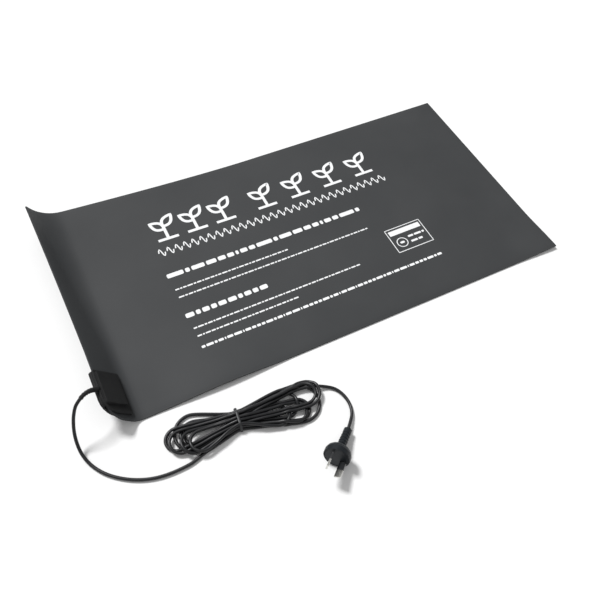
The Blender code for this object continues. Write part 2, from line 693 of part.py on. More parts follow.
def build_pin(name, side, group, cutters, frame, materials, bridge):
    """One flat pin with its sleeve, leaned so that the pair forms a V."""
    width, thickness, length = PIN_SIZE
    lean = side * PIN_LEAN
    spot = (side * PIN_SPREAD, PIN_RISE, 0.0)

    def set_pose(item):
        item.location = spot
        item.rotation_euler = (0.0, 0.0, lean)
        return item

    neck_half, neck_thin = width / 2 - 0.0006, thickness / 2 - 0.0005
    pin = box("pin_" + name, ((-thickness / 2, thickness / 2), (-width / 2, width / 2),
                              (SLEEVE_LENGTH + 0.0002, length)))
    neck = box(f"pin_{name}_neck", ((-neck_thin, neck_thin), (-neck_half, neck_half),
                                    (-0.0046, SLEEVE_LENGTH + 0.0010)))
    bevel(pin, 0.0003, 1)
    cut(pin, cutter_object(set_pose(neck), cutters, frame), "UNION")
    place(set_pose(pin), group, materials["nickel"], frame)

    sleeve = box(f"pin_{name}_sleeve", ((-thickness / 2, thickness / 2), (-width / 2, width / 2),
                                        (0.0002, SLEEVE_LENGTH)))
    bore = box(f"pin_{name}_sleeve_bore", ((-neck_thin - 0.0002, neck_thin + 0.0002),
                                           (-neck_half - 0.0002, neck_half + 0.0002), (-0.01, 0.02)))
    bevel(sleeve, 0.0002, 1)
    cut(sleeve, cutter_object(set_pose(bore), cutters, frame))
    place(set_pose(sleeve), group, materials["plug"], frame)
    cut(bridge, bore)


def build_plug_cores(group, frame, materials):
    for name, side, material in (("live", -1, "core_brown"), ("neutral", 1, "core_blue")):
        points = [(side * 0.0010, 0.0, -0.0112), (side * 0.0011, 0.0, -0.0082),
                  (side * 0.0022, 0.0004, -0.0068), (side * 0.0044, 0.0014, -0.0064),
                  (side * 0.0060, 0.0020, -0.0061), (side * PIN_SPREAD, PIN_RISE, -0.0053)]
        place(wire(f"plug_{name}_core", points, CORE_RADIUS), group, materials[material], frame)


def build_plug(group, cutters, materials):
    frame = bpy.data.objects.new("plug_frame", None)
    group.objects.link(frame)
    frame.matrix_world = plug_matrix()
    bridge = build_plug_body(group, cutters, frame, materials)
    build_plug_relief(group, frame, materials)
    build_pin("live", -1, group, cutters, frame, materials, bridge)
    build_pin("neutral", 1, group, cutters, frame, materials, bridge)
    build_plug_cores(group, frame, materials)


# ---------------------------------------------------------------- the whole

def make_materials():
    table = {
        "vinyl": ((0.066, 0.070, 0.073), 0.62, 0.0),
        "seal": ((0.050, 0.052, 0.054), 0.70, 0.0),
        "film": ((0.55, 0.45, 0.22), 0.30, 0.0),
        "carbon": ((0.012, 0.012, 0.013), 0.80, 0.0),
        "copper": ((0.72, 0.38, 0.24), 0.30, 1.0),
        "shell": ((0.021, 0.022, 0.023), 0.45, 0.0),
        "steel": ((0.60, 0.60, 0.61), 0.30, 1.0),
        "brass": ((0.76, 0.60, 0.30), 0.30, 1.0),
        "tin": ((0.66, 0.66, 0.64), 0.35, 1.0),
        "core_blue": ((0.05, 0.16, 0.50), 0.45, 0.0),
        "core_brown": ((0.20, 0.08, 0.03), 0.45, 0.0),
        "cord": ((0.020, 0.021, 0.024), 0.42, 0.0),
        "tie": ((0.016, 0.017, 0.018), 0.50, 0.0),
        "plug": ((0.015, 0.019, 0.022), 0.40, 0.0),
        "nickel": ((0.70, 0.69, 0.65), 0.22, 1.0),
    }
    return {name: make_material(name, *values) for name, values in table.items()}


def shade(group):
    """Smooth shading with sharp edges kept, on every mesh piece."""
    for item in group.objects:
        if item.type == "MESH":
            item.data.shade_smooth()
            item.data.set_sharp_from_angle(angle=math.radians(35.0))


def main():
    clear_scene()
    group = make_collection("seedling_heat_mat")
    cutters = make_collection("cutters")
    materials = make_materials()
    frame = box_frame(group)
    build_mat(group, cutters, frame, materials)
    upper, lower = build_shells(group, cutters, frame, materials)
    build_screws(group, cutters, frame, materials, upper, lower)
    build_box_inside(group, cutters, frame, materials)
    build_boot(group, frame, materials)
    build_cord(group, materials)
    build_hank(group, cutters, materials)
    build_tie(group, cutters, materials)
    build_plug(group, cutters, materials)
    shade(group)
    bpy.context.view_layer.update()


main()
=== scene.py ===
"""Seedling heat mat: the detailed pieces, materials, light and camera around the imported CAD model."""

import json
import math

import bmesh
import bpy
import numpy as np
from mathutils import Matrix, Vector

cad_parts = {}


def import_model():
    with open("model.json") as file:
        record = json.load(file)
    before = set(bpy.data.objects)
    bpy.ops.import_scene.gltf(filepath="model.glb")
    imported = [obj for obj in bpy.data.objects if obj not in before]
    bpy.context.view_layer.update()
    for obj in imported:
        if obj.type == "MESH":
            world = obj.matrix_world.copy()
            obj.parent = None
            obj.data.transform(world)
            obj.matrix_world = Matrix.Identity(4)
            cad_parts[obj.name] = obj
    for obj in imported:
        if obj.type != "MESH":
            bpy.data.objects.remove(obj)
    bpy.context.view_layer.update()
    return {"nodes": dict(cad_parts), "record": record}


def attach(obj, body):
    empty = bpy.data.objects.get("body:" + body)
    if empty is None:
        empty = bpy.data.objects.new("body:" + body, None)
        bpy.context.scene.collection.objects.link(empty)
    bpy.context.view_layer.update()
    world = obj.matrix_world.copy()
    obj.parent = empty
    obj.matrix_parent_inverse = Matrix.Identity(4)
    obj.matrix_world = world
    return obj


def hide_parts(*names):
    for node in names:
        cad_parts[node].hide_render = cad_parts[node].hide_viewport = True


# The mat's surface, as in part.py.
MAT_LENGTH = 0.525
MAT_WIDTH = 0.267
RIGHT_END_X = 0.255
BOX_CORNER_RADIUS = 0.020
RAMP_ANGLE = math.radians(52.0)
RAMP_ANGLE_GAIN = math.radians(7.0)
RAMP_LENGTH = 0.028
RAMP_LENGTH_LOSS = 0.024
CURL_END = 0.041
CURL_GROWTH_START = 0.075
FAR_LIFT = 0.015
FAR_LIFT_REACH = 0.258
NEAR_RIPPLE = (0.125, 0.080, 0.070, 0.0035)
CORNER_LIFT_REACH = 0.060
CORNER_LIFT = 0.0025
# The opening under the box: how far in it goes, and where it starts and ends across the mat.
WINDOW = (0.016, 0.018, 0.044)
MAT_TOP = 0.0019

# The covers. The top one is pressed down along its rim. A line of their grid runs through each mark.
COVER_THICKNESS = 0.00054
BOTTOM_SHEET_TOP = 0.0005
RIM_DROP = 0.00030
RIM_REACH = 0.005
RIM_MARKS = (0.0, 0.0006, 0.0015, 0.003, 0.005)
FIRST_MARK, LAST_MARK = 0.010, 0.060
COVER_SPACING = 0.0055

# The cord, as in part.py.
CORD_RADIUS = 0.0016
CORD_DIAMETER = 2 * CORD_RADIUS
CORD_STEP = 0.0018
CORD_EXIT_Y = 0.0300
CORD_EXIT_Z = 0.0019
BOOT_ROUTE = [
    (-0.2596, -0.1037, 0.0331), (-0.2618, -0.1044, 0.0355), (-0.2643, -0.1054, 0.0376),
    (-0.2673, -0.1067, 0.0391), (-0.2706, -0.1083, 0.0398), (-0.2738, -0.1101, 0.0392),
]
LEAD_ROUTE = [
    (-0.2740, -0.1102, 0.0391), (-0.2795, -0.1134, 0.0362), (-0.2838, -0.1176, 0.0305),
    (-0.2871, -0.1226, 0.0238), (-0.2895, -0.1284, 0.0166), (-0.2906, -0.1350, 0.0103),
    (-0.2902, -0.1432, 0.0052), (-0.2878, -0.1514, 0.0024), (-0.2842, -0.1588, 0.0017),
    (-0.2795, -0.1658, 0.0017), (-0.2736, -0.1723, 0.0017), (-0.2660, -0.1786, 0.0017),
    (-0.2572, -0.1842, 0.0017), (-0.2476, -0.1886, 0.0017), (-0.2372, -0.1916, 0.0017),
    (-0.2262, -0.1930, 0.0017), (-0.2150, -0.1931, 0.0017), (-0.2060, -0.1924, 0.0017),
]
TAIL_ROUTE = [
    (-0.0598, -0.1786, 0.0020), (-0.0548, -0.1832, 0.0017), (-0.0515, -0.1900, 0.0017),
    (-0.0500, -0.1985, 0.0017), (-0.0508, -0.2062, 0.0018), (-0.0538, -0.2132, 0.0026),
    (-0.0590, -0.2195, 0.0038),
]
CORD_START_X, CORD_EXIT_X = 0.0004, -0.0030

# The strain relief at the box: its radii, its inner profile as (x in the box's frame, radius), and its rings.
BOOT_FLANGE, BOOT_NECK, BOOT_SHOULDER, BOOT_TIP = 0.0029, 0.0022, 0.0026, 0.0020
BOOT_PROFILE = [
    (0.0010, BOOT_FLANGE), (-0.0010, BOOT_FLANGE), (-0.0011, BOOT_NECK), (-0.0033, BOOT_NECK),
    (-0.0034, BOOT_SHOULDER),
]
BOOT_STEP = 0.00045
BOOT_RINGS = 7
BOOT_RING_DEPTH = 0.00030
BOOT_RINGED = (0.15, 0.88)

# The hank and its tie.
HANK_WAIST = (-0.1520, -0.1735)
HANK_TURN = math.radians(-7.6)
HANK_TOP = 0.0096
TIE_INNER = (0.0112, 0.0106)
TIE_FLOOR = 0.0010
FOLD_RADIUS = 0.0124

# How the hank settles. PAIR_REACH, OWN_REACH and TURN_CLEARANCE are in cord diameters, HELD_POINTS,
# BEND_SPANS and CALM_REACHES in points of the line, and LATE is a share of the rounds.
SETTLE_ROUNDS, QUICK_ROUNDS = 600, 60
HELD_POINTS = 4
SMOOTHINGS = 2
HOME_PULL, HOME_PULL_START = 0.02, 1.25
SINK = 0.00002
PAIR_REACH, OWN_REACH = 2.2, 3.2
PAIR_ROUNDS = 8
TURN_CLEARANCE = 1.01
PART_SHARE, BEND_SHARE = 0.9, 0.5
BEND_SPANS = (4, 8)
LATE = 0.6
CALM_REACHES = (1, 3, 6)
CALM_START, CALM_END = 0.30, 0.03
TIED_HALF = 0.0030

# The tie's band: the slice of hank it goes round, its clearance, and its section as (x, height).
TIE_SLICE = 0.0016
TIE_CLEARANCE = 0.00018
TIE_POINTS = 96
TIE_SMOOTHINGS = 3
TIE_RIB, TIE_RIB_FROM = 0.00005, 0.0005
TIE_LOWEST = 0.00012
TIE_SECTION = [
    (-0.00125, 0.0001), (-0.00105, 0.0), (0.00105, 0.0), (0.00125, 0.0001), (0.00125, 0.00045),
    (0.00095, 0.00060), (0.0, 0.00066), (-0.00095, 0.00060), (-0.00125, 0.00045),
]
TIE_HEAD = (0.0030, 0.0015, 0.0022)
TIE_HEAD_BEVEL = 0.0004
TIE_HEAD_OUT = 0.0009
STRAP_END = (0.0018, 0.0006, 0.0031)
STRAP_END_OUT = 0.0005

# The plug's place.
PLUG_AZIMUTH = math.radians(-139.0)
PLUG_TILT = math.radians(14.0)
PLUG_ROLL = math.radians(-37.0)
PLUG_FRONT = (-0.0902, -0.2477, 0.0134)
RELIEF_END = 0.0345
RELIEF_OVERLAP = 0.0010

# The camera looks down from level, turned from +Y towards +X, and rolled round its own axis.
CAMERA_SENSOR, CAMERA_LENS = 36.0, 40.59
CAMERA_PLACE = (-0.2413, -0.4192, 0.5855)
CAMERA_DOWN = math.radians(55.71)
CAMERA_TURN = math.radians(30.50)
CAMERA_ROLL = math.radians(4.54)
SUN_STRENGTH = 3.0
SUN_WIDTH = math.radians(14.0)
SUN_DIRECTION = (0.22, -0.60, -0.80)
SKY_STRENGTH = 0.46
FLOOR_HALF = 30


# ---------------------------------------------------------------- the mat's surface

def ease(value):
    value = min(1.0, max(0.0, value))
    return value * value * (3.0 - 2.0 * value)


def mat_point(u, v):
    """A point of the mat's underside, u along from the curled end and v across from the near edge."""
    growth = max(0.0, (v - CURL_GROWTH_START) / (MAT_WIDTH - CURL_GROWTH_START))
    x, z = u, 0.0
    if u < CURL_END:
        angle = RAMP_ANGLE + RAMP_ANGLE_GAIN * growth
        ramp = RAMP_LENGTH - RAMP_LENGTH_LOSS * growth
        radius = (CURL_END - ramp) / angle
        turned = angle * min(1.0, (CURL_END - u) / (CURL_END - ramp))
        straight = max(0.0, ramp - u)
        x = CURL_END - radius * math.sin(turned) - straight * math.cos(angle)
        z = radius * (1.0 - math.cos(turned)) + straight * math.sin(angle)
    z += FAR_LIFT * max(0.0, 1.0 - u / FAR_LIFT_REACH) ** 1.5 * growth ** 1.4
    place_u, reach_u, reach_v, height = NEAR_RIPPLE
    z += height * ease(1.0 - abs(u - place_u) / reach_u) * ease(1.0 - v / reach_v)
    z += CORNER_LIFT * ease(1.0 - math.hypot(MAT_LENGTH - u, v) / CORNER_LIFT_REACH)
    return Vector((x - MAT_LENGTH + RIGHT_END_X, v - MAT_WIDTH / 2, z))


def mat_normal(u, v):
    step = 0.0002
    along = mat_point(u + step, v) - mat_point(u - step, v)
    across = mat_point(u, v + step) - mat_point(u, v - step)
    return along.cross(across).normalized()


def on_mat(u, v, height):
    """A point at a height above the mat's underside."""
    return mat_point(u, v) + mat_normal(u, v) * height


def round_box_corner(u, v):
    if u >= BOX_CORNER_RADIUS or v >= BOX_CORNER_RADIUS:
        return u, v
    a = 1.0 - u / BOX_CORNER_RADIUS
    b = 1.0 - v / BOX_CORNER_RADIUS
    a_round = a * math.sqrt(1.0 - b * b / 2)
    b_round = b * math.sqrt(1.0 - a * a / 2)
    return BOX_CORNER_RADIUS * (1.0 - a_round), BOX_CORNER_RADIUS * (1.0 - b_round)


# ---------------------------------------------------------------- materials

def new_material(name):
    material = bpy.data.materials.new(name)
    material.use_nodes = True
    return material, material.node_tree.nodes, material.node_tree.links


def speckled(name, dark, light, patch, grain, bump, rough, metallic=0.0, coat=0.0, specular=0.5):
    """A surface with broad colour patches, fine grain in its relief, and uneven gloss.

    patch and grain are the sizes of the two, in metres, and bump the depth of the grain."""
    material, nodes, links = new_material(name)
    shader = nodes["Principled BSDF"]
    place = nodes.new("ShaderNodeTexCoord")

    def noise(size, detail):
        node = nodes.new("ShaderNodeTexNoise")
        node.inputs["Scale"].default_value = 1.0 / size
        node.inputs["Detail"].default_value = detail
        links.new(place.outputs["Object"], node.inputs["Vector"])
        return node

    broad, fine = noise(patch, 4.0), noise(grain, 3.0)
    mix = nodes.new("ShaderNodeMix")
    mix.data_type = "RGBA"
    mix.inputs["A"].default_value = (*dark, 1.0)
    mix.inputs["B"].default_value = (*light, 1.0)
    spread = nodes.new("ShaderNodeMapRange")
    spread.inputs["From Min"].default_value = 0.3
    spread.inputs["From Max"].default_value = 0.7
    links.new(broad.outputs["Fac"], spread.inputs["Value"])
    links.new(spread.outputs["Result"], mix.inputs["Factor"])
    links.new(mix.outputs["Result"], shader.inputs["Base Color"])
    gloss = nodes.new("ShaderNodeMapRange")
    gloss.inputs["To Min"].default_value = rough[0]
    gloss.inputs["To Max"].default_value = rough[1]
    links.new(fine.outputs["Fac"], gloss.inputs["Value"])
    links.new(gloss.outputs["Result"], shader.inputs["Roughness"])
    relief = nodes.new("ShaderNodeBump")
    relief.inputs["Distance"].default_value = bump
    relief.inputs["Strength"].default_value = 0.6
    links.new(fine.outputs["Fac"], relief.inputs["Height"])
    links.new(relief.outputs["Normal"], shader.inputs["Normal"])
    shader.inputs["Metallic"].default_value = metallic
    shader.inputs["Coat Weight"].default_value = coat
    shader.inputs["Coat Roughness"].default_value = 0.3
    shader.inputs["Specular IOR Level"].default_value = specular
    material.diffuse_color = (*light, 1.0)
    return material


# Each look: its dark and light colours, the sizes of its patches and grain, the depth of its grain,
# its range of roughness, and what else sets it apart.
LOOKS = {
    "cover_vinyl": ((0.030, 0.032, 0.034), (0.038, 0.040, 0.042), 0.090, 0.00045, 0.00004, (0.55, 0.75),
                    {"specular": 0.35}),
    "edge_seal": ((0.026, 0.027, 0.029), (0.034, 0.036, 0.038), 0.030, 0.0005, 0.00003, (0.60, 0.80),
                  {"specular": 0.35}),
    "print_white": ((0.78, 0.79, 0.80), (0.90, 0.91, 0.91), 0.004, 0.00035, 0.00002, (0.45, 0.65), {}),
    "junction_plastic": ((0.0110, 0.0112, 0.0116), (0.0150, 0.0152, 0.0157), 0.012, 0.00030, 0.00003,
                         (0.52, 0.70), {"specular": 0.22}),
    "cord_sheath": ((0.0058, 0.0062, 0.0074), (0.0098, 0.0102, 0.0118), 0.020, 0.00060, 0.00003,
                    (0.30, 0.46), {"coat": 0.06, "specular": 0.40}),
    "tie_plastic": ((0.013, 0.0135, 0.015), (0.020, 0.021, 0.023), 0.006, 0.00030, 0.00002, (0.40, 0.55), {}),
    "plug_plastic": ((0.0040, 0.0062, 0.0090), (0.0070, 0.0098, 0.0132), 0.010, 0.00028, 0.00003,
                     (0.38, 0.54), {"specular": 0.28}),
    "pin_sleeve": ((0.010, 0.011, 0.012), (0.016, 0.017, 0.019), 0.004, 0.00020, 0.00001, (0.12, 0.22),
                   {"coat": 0.5, "specular": 0.8}),
    "pin_metal": ((0.60, 0.60, 0.57), (0.76, 0.75, 0.71), 0.004, 0.00015, 0.00001, (0.16, 0.32),
                  {"metallic": 1.0}),
    "heater_film": ((0.46, 0.37, 0.18), (0.58, 0.48, 0.25), 0.020, 0.0010, 0.00001, (0.20, 0.35), {}),
    "carbon_ink": ((0.008, 0.008, 0.009), (0.016, 0.016, 0.017), 0.008, 0.00030, 0.00001, (0.70, 0.90), {}),
    "copper": ((0.62, 0.32, 0.20), (0.80, 0.44, 0.29), 0.006, 0.00040, 0.00001, (0.22, 0.40),
               {"metallic": 1.0}),
    "screw_steel": ((0.50, 0.50, 0.52), (0.66, 0.66, 0.67), 0.002, 0.00020, 0.00001, (0.25, 0.42),
                    {"metallic": 1.0}),
    "terminal_brass": ((0.66, 0.50, 0.24), (0.80, 0.64, 0.34), 0.003, 0.00025, 0.00001, (0.22, 0.38),
                       {"metallic": 1.0}),
    "fuse_case": ((0.58, 0.58, 0.56), (0.70, 0.70, 0.68), 0.003, 0.00025, 0.00001, (0.28, 0.44),
                  {"metallic": 1.0}),
    "core_blue": ((0.04, 0.13, 0.42), (0.06, 0.18, 0.54), 0.004, 0.00030, 0.00001, (0.35, 0.50), {}),
    "core_brown": ((0.15, 0.06, 0.025), (0.23, 0.095, 0.04), 0.004, 0.00030, 0.00001, (0.35, 0.50), {}),
}


def make_materials():
    return {name: speckled(name, *look, **extra) for name, (*look, extra) in LOOKS.items()}


def finish_piece(item, material):
    item.data.materials.clear()
    item.data.materials.append(material)
    if item.name not in bpy.context.scene.collection.objects:
        bpy.context.scene.collection.objects.link(item)
    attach(item, "root")


def mesh_piece(name, points, faces, smooth=True):
    mesh = bpy.data.meshes.new(name)
    mesh.from_pydata([tuple(point) for point in points], [], faces)
    mesh.update()
    if smooth:
        mesh.shade_smooth()
    return bpy.data.objects.new(name, mesh)


# ---------------------------------------------------------------- covers

def grid_lines(marks, spacing):
    """Lines through all the marks and, between them, at most the spacing apart."""
    lines = [marks[0]]
    for start, end in zip(marks, marks[1:]):
        count = max(1, math.ceil((end - start) / spacing))
        lines += [start + (end - start) * step / count for step in range(1, count + 1)]
    return lines


def rim_marks(inner, size):
    """Marks across a cover, close together at both rims, with the given ones between."""
    return [*RIM_MARKS, *inner, *(size - mark for mark in reversed(RIM_MARKS))]


def edge_drop(u, v, drop):
    """How far a cover is pressed down towards its welded rim."""
    inward = min(u, v, MAT_LENGTH - u, MAT_WIDTH - v)
    return drop * (1.0 - ease(inward / RIM_REACH))


def cover(name, low, high, drop):
    """A cover as a thin closed sheet, pressed towards the other one along its rim."""
    marks_u = rim_marks((FIRST_MARK, WINDOW[0], RAMP_LENGTH, CURL_END, LAST_MARK), MAT_LENGTH)
    marks_v = rim_marks((FIRST_MARK, WINDOW[1], WINDOW[2], LAST_MARK), MAT_WIDTH)
    lines_u, lines_v = grid_lines(marks_u, COVER_SPACING), grid_lines(marks_v, COVER_SPACING)
    shape = bmesh.new()
    sides = []
    for height in (low, high):
        grid = {}
        for i, u in enumerate(lines_u):
            for j, v in enumerate(lines_v):
                a, b = round_box_corner(u, v)
                level = height - edge_drop(a, b, drop)
                grid[i, j] = shape.verts.new(on_mat(a, b, level))
        sides.append(grid)
    kept = {(i, j) for i in range(len(lines_u) - 1) for j in range(len(lines_v) - 1)
            if not ((lines_u[i] + lines_u[i + 1]) / 2 < WINDOW[0]
                    and WINDOW[1] < (lines_v[j] + lines_v[j + 1]) / 2 < WINDOW[2])}
    below, above = sides
    for i, j in kept:
        corners = [(i, j), (i + 1, j), (i + 1, j + 1), (i, j + 1)]
        shape.faces.new([above[c] for c in corners])
        shape.faces.new([below[c] for c in reversed(corners)])
        beyond = [(i, j - 1), (i + 1, j), (i, j + 1), (i - 1, j)]
        for side in range(4):
            if beyond[side] not in kept:
                a, b = corners[side], corners[(side + 1) % 4]
                shape.faces.new([below[a], below[b], above[b], above[a]])
    loose = [vert for vert in shape.verts if not vert.link_faces]
    bmesh.ops.delete(shape, geom=loose, context="VERTS")
    mesh = bpy.data.meshes.new(name)
    shape.to_mesh(mesh)
    shape.free()
    mesh.shade_smooth()
    mesh.set_sharp_from_angle(angle=math.radians(50.0))
    return bpy.data.objects.new(name, mesh)


def build_covers(materials):
    top = cover("mat_top_sheet", MAT_TOP - COVER_THICKNESS, MAT_TOP, RIM_DROP)
    finish_piece(top, materials["cover_vinyl"])
    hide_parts("top_cover")
    bottom = cover("mat_bottom_sheet", 0.0, BOTTOM_SHEET_TOP, 0.0)
    finish_piece(bottom, materials["cover_vinyl"])
    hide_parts("bottom_cover")


# ---------------------------------------------------------------- print

INK_LIFT = 0.00006
INK_STEP, INK_LEVELS = 0.000004, 8
INK_THICKNESS = 0.00003
STROKE_STEP = 0.0025
BAR_END_STEPS = 4
LEAF_STEPS, LEAF_FULLNESS = 9, 0.85
WORD_ROUNDING = 0.28

# The sprouts: where a group starts and ends along the mat and how many it has, and their soil line.
PRINT_LEFT, PRINT_RIGHT = 0.119, 0.405
SPROUT_GROUPS = ((PRINT_LEFT, 0.222, 3), (0.235, PRINT_RIGHT, 4))
SPROUT_SOIL, SPROUT_HEIGHT, SPROUT_STROKE = 0.1900, 0.0325, 0.0034
# A sprout's proportions, as shares of its height. Each leaf: its foot, its reach to the side and its tip.
STEM, SOIL_HALF, LEAF_WIDTH = 0.62, 0.36, 0.30
SPROUT_LEAVES = ((0.44, -0.41, 0.80), (0.56, 0.41, 0.98))
# The zigzag under them: how many waves, the share that each fills, and its place, height and stroke.
WAVES, WAVE_FILL, WAVE_STEPS = 30, 0.74, 8
WAVE_PLACE, WAVE_HEIGHT, WAVE_STROKE = 0.174, 0.0050, 0.0013
# Lengths of the bars that stand for words, as multiples of their line's height.
TITLE_WORDS = (3.4, 0.9, 2.7, 2.1, 1.6, 1.4, 0.6, 1.5, 1.3)
HEADING_WORDS = (1.7, 0.9, 1.4, 1.1, 1.6)
SMALL_WORDS = (2.6, 1.4, 2.2, 3.6, 1.7, 2.9, 1.2, 3.2)
FOOT_WORDS = (1.3, 2.6, 1.0, 1.9, 0.5, 2.2, 2.9, 0.5, 2.1, 1.5, 1.4)
# Each line of print: its start and end along the mat, its place across it, height, words and gaps.
PRINT_LINES = (
    (0.116, 0.356, 0.1394, 0.0054, TITLE_WORDS, 0.42),
    (0.118, 0.251, 0.1220, 0.0017, SMALL_WORDS, 0.55),
    (0.118, 0.344, 0.1118, 0.0017, SMALL_WORDS[3:] + SMALL_WORDS[:3], 0.55),
    (0.116, 0.211, 0.0856, 0.0054, HEADING_WORDS, 0.40),
    (0.118, 0.312, 0.0706, 0.0017, SMALL_WORDS[2:] + SMALL_WORDS[:2], 0.55),
    (0.118, 0.231, 0.0604, 0.0017, SMALL_WORDS[5:] + SMALL_WORDS[:5], 0.55),
    (0.117, 0.404, 0.0458, 0.0029, FOOT_WORDS, 0.42),
)
# The boxed icon: its frame, the bar along its top, a ring with a bar in it, and two lines beside that.
ICON_FRAME = ((0.359, 0.067), (0.404, 0.067), (0.404, 0.100), (0.359, 0.100))
ICON_FRAME_STROKE = 0.0009
ICON_TOP_BAR = (0.3615, 0.0905, 0.0400, 0.0065, 0.0006)
ICON_RING_AT, ICON_RING_RADIUS, ICON_RING_STROKE = (0.3700, 0.0785), 0.0062, 0.0010
ICON_RING_SIDES = 24
ICON_RING_BAR = (0.3672, 0.0771, 0.0056, 0.0028)
ICON_LINES = (
    (0.3800, 0.4010, 0.0818, 0.0026, (2.6, 3.4), 0.5),
    (0.3800, 0.3980, 0.0744, 0.0026, (3.2, 2.0), 0.5),
)


class Print:
    """White marks laid on the mat: ribbons and bars, generic shapes only."""

    def __init__(self, height):
        self.points, self.faces, self.base, self.strokes = [], [], height, 0

    def next_height(self):
        """The strokes take turns at a few heights, so that strokes that cross don't coincide."""
        self.strokes += 1
        return self.base + INK_STEP * (self.strokes % INK_LEVELS)

    def ribbon(self, path, width, closed=False):
        """A stroke of even width along a path of (u, v) points."""
        knots = [Vector((*point, 0.0)) for point in path]
        if closed:
            knots.append(knots[0].copy())
        line = [knots[0]]
        for start, end in zip(knots, knots[1:]):
            count = max(1, math.ceil((end - start).length / STROKE_STEP))
            line += [start.lerp(end, step / count) for step in range(1, count + 1)]
        first, height = len(self.points), self.next_height()
        last = len(line) - 1
        for index, point in enumerate(line):
            before = line[index - 1] if index else (line[-2] if closed else point)
            after = line[index + 1] if index < last else (line[1] if closed else point)
            along = (after - before).normalized()
            side = Vector((-along.y, along.x, 0.0)) * width / 2
            for place in (point - side, point + side):
                self.points.append(on_mat(place.x, place.y, height))
            if index:
                a = first + 2 * index
                self.faces.append((a - 2, a, a + 1, a - 1))

    def bar(self, u, v, length, tall, radius=None):
        """A solid bar with rounded corners, from its lower left one."""
        radius = min(tall, length) / 2 if radius is None else radius
        angles = [math.pi / 2 * step / BAR_END_STEPS for step in range(BAR_END_STEPS + 1)]
        columns = [(radius * (1 - math.cos(angle)), tall / 2 - radius * (1 - math.sin(angle)))
                   for angle in angles]
        count = max(1, math.ceil((length - 2 * radius) / STROKE_STEP))
        middle = [(radius + (length - 2 * radius) * k / count, tall / 2) for k in range(1, count)]
        whole = columns + middle + [(length - x, half) for x, half in reversed(columns)]
        first, height = len(self.points), self.next_height()
        for index, (x, half) in enumerate(whole):
            for side in (-half, half):
                self.points.append(on_mat(u + x, v + tall / 2 + side, height))
            if index:
                a = first + 2 * index
                self.faces.append((a - 2, a, a + 1, a - 1))

    def leaf(self, base, tip, width, stroke):
        """The outline of a leaf between two points."""
        base, tip = Vector((*base, 0.0)), Vector((*tip, 0.0))
        along = tip - base
        side = Vector((-along.y, along.x, 0.0)).normalized() * width / 2
        places = [step / LEAF_STEPS for step in range(LEAF_STEPS + 1)]
        edge = [(t, math.sin(math.pi * t ** LEAF_FULLNESS)) for t in places]
        loop = [base + along * t + side * swell for t, swell in edge]
        loop += [base + along * t - side * swell for t, swell in reversed(edge[1:-1])]
        self.ribbon([(p.x, p.y) for p in loop], stroke, closed=True)

    def words(self, u_start, u_end, v, height, lengths, gap):
        """A row of bars of uneven length, which stands for a line of print."""
        u, index = u_start, 0
        while u < u_end - height:
            length = min(lengths[index % len(lengths)] * height, u_end - u)
            self.bar(u, v, length, height, height * WORD_ROUNDING)
            u += length + gap * height
            index += 1


def sprout(ink, u, v, height, stroke):
    """A seedling: a stem from a line of soil, with two leaves."""
    ink.ribbon([(u, v), (u, v + height * STEM)], stroke)
    for foot, reach, top in SPROUT_LEAVES:
        ink.leaf((u, v + height * foot), (u + height * reach, v + height * top), height * LEAF_WIDTH, stroke)
    ink.ribbon([(u - height * SOIL_HALF, v), (u + height * SOIL_HALF, v)], stroke)


def print_sprouts(ink):
    for start, end, count in SPROUT_GROUPS:
        pitch = (end - start) / count
        for index in range(count):
            sprout(ink, start + pitch * (index + 0.5), SPROUT_SOIL, SPROUT_HEIGHT, SPROUT_STROKE)


def print_waves(ink):
    for index in range(WAVES):
        start = PRINT_LEFT + (PRINT_RIGHT - PRINT_LEFT) * index / WAVES
        width = (PRINT_RIGHT - PRINT_LEFT) / WAVES * WAVE_FILL
        path = []
        for step in range(WAVE_STEPS + 1):
            swing = WAVE_HEIGHT * math.sin(math.tau * step / WAVE_STEPS)
            path.append((start + width * step / WAVE_STEPS, WAVE_PLACE + swing))
        ink.ribbon(path, WAVE_STROKE)


def print_boxed_icon(ink):
    ink.ribbon(ICON_FRAME, ICON_FRAME_STROKE, closed=True)
    ink.bar(*ICON_TOP_BAR)
    u, v = ICON_RING_AT
    angles = [math.tau * step / ICON_RING_SIDES for step in range(ICON_RING_SIDES)]
    ring = [(u + ICON_RING_RADIUS * math.cos(angle), v + ICON_RING_RADIUS * math.sin(angle))
            for angle in angles]
    ink.ribbon(ring, ICON_RING_STROKE, closed=True)
    ink.bar(*ICON_RING_BAR)
    for line in ICON_LINES:
        ink.words(*line)


def build_print(materials):
    ink = Print(MAT_TOP + INK_LIFT)
    print_sprouts(ink)
    print_waves(ink)
    for line in PRINT_LINES:
        ink.words(*line)
    print_boxed_icon(ink)
    item = mesh_piece("printed_marks", ink.points, ink.faces, smooth=False)
    depth = item.modifiers.new("Ink thickness", "SOLIDIFY")
    depth.thickness = INK_THICKNESS
    depth.offset = 0.0
    finish_piece(item, materials["print_white"])


# ---------------------------------------------------------------- the cord

# Millimetres in the hank's frame: where each run crosses the waist, as (y, z).
WAIST = [(-8.0, 2.7), (8.0, 2.7), (-4.8, 2.7), (4.8, 2.7), (-1.6, 2.7), (6.4, 5.6), (-1.6, 8.5), (4.8, 8.5),
         (-3.2, 5.6), (3.2, 5.6), (-6.4, 5.6), (1.6, 8.5), (-4.8, 8.5), (1.6, 2.7), (0.0, 5.6)]
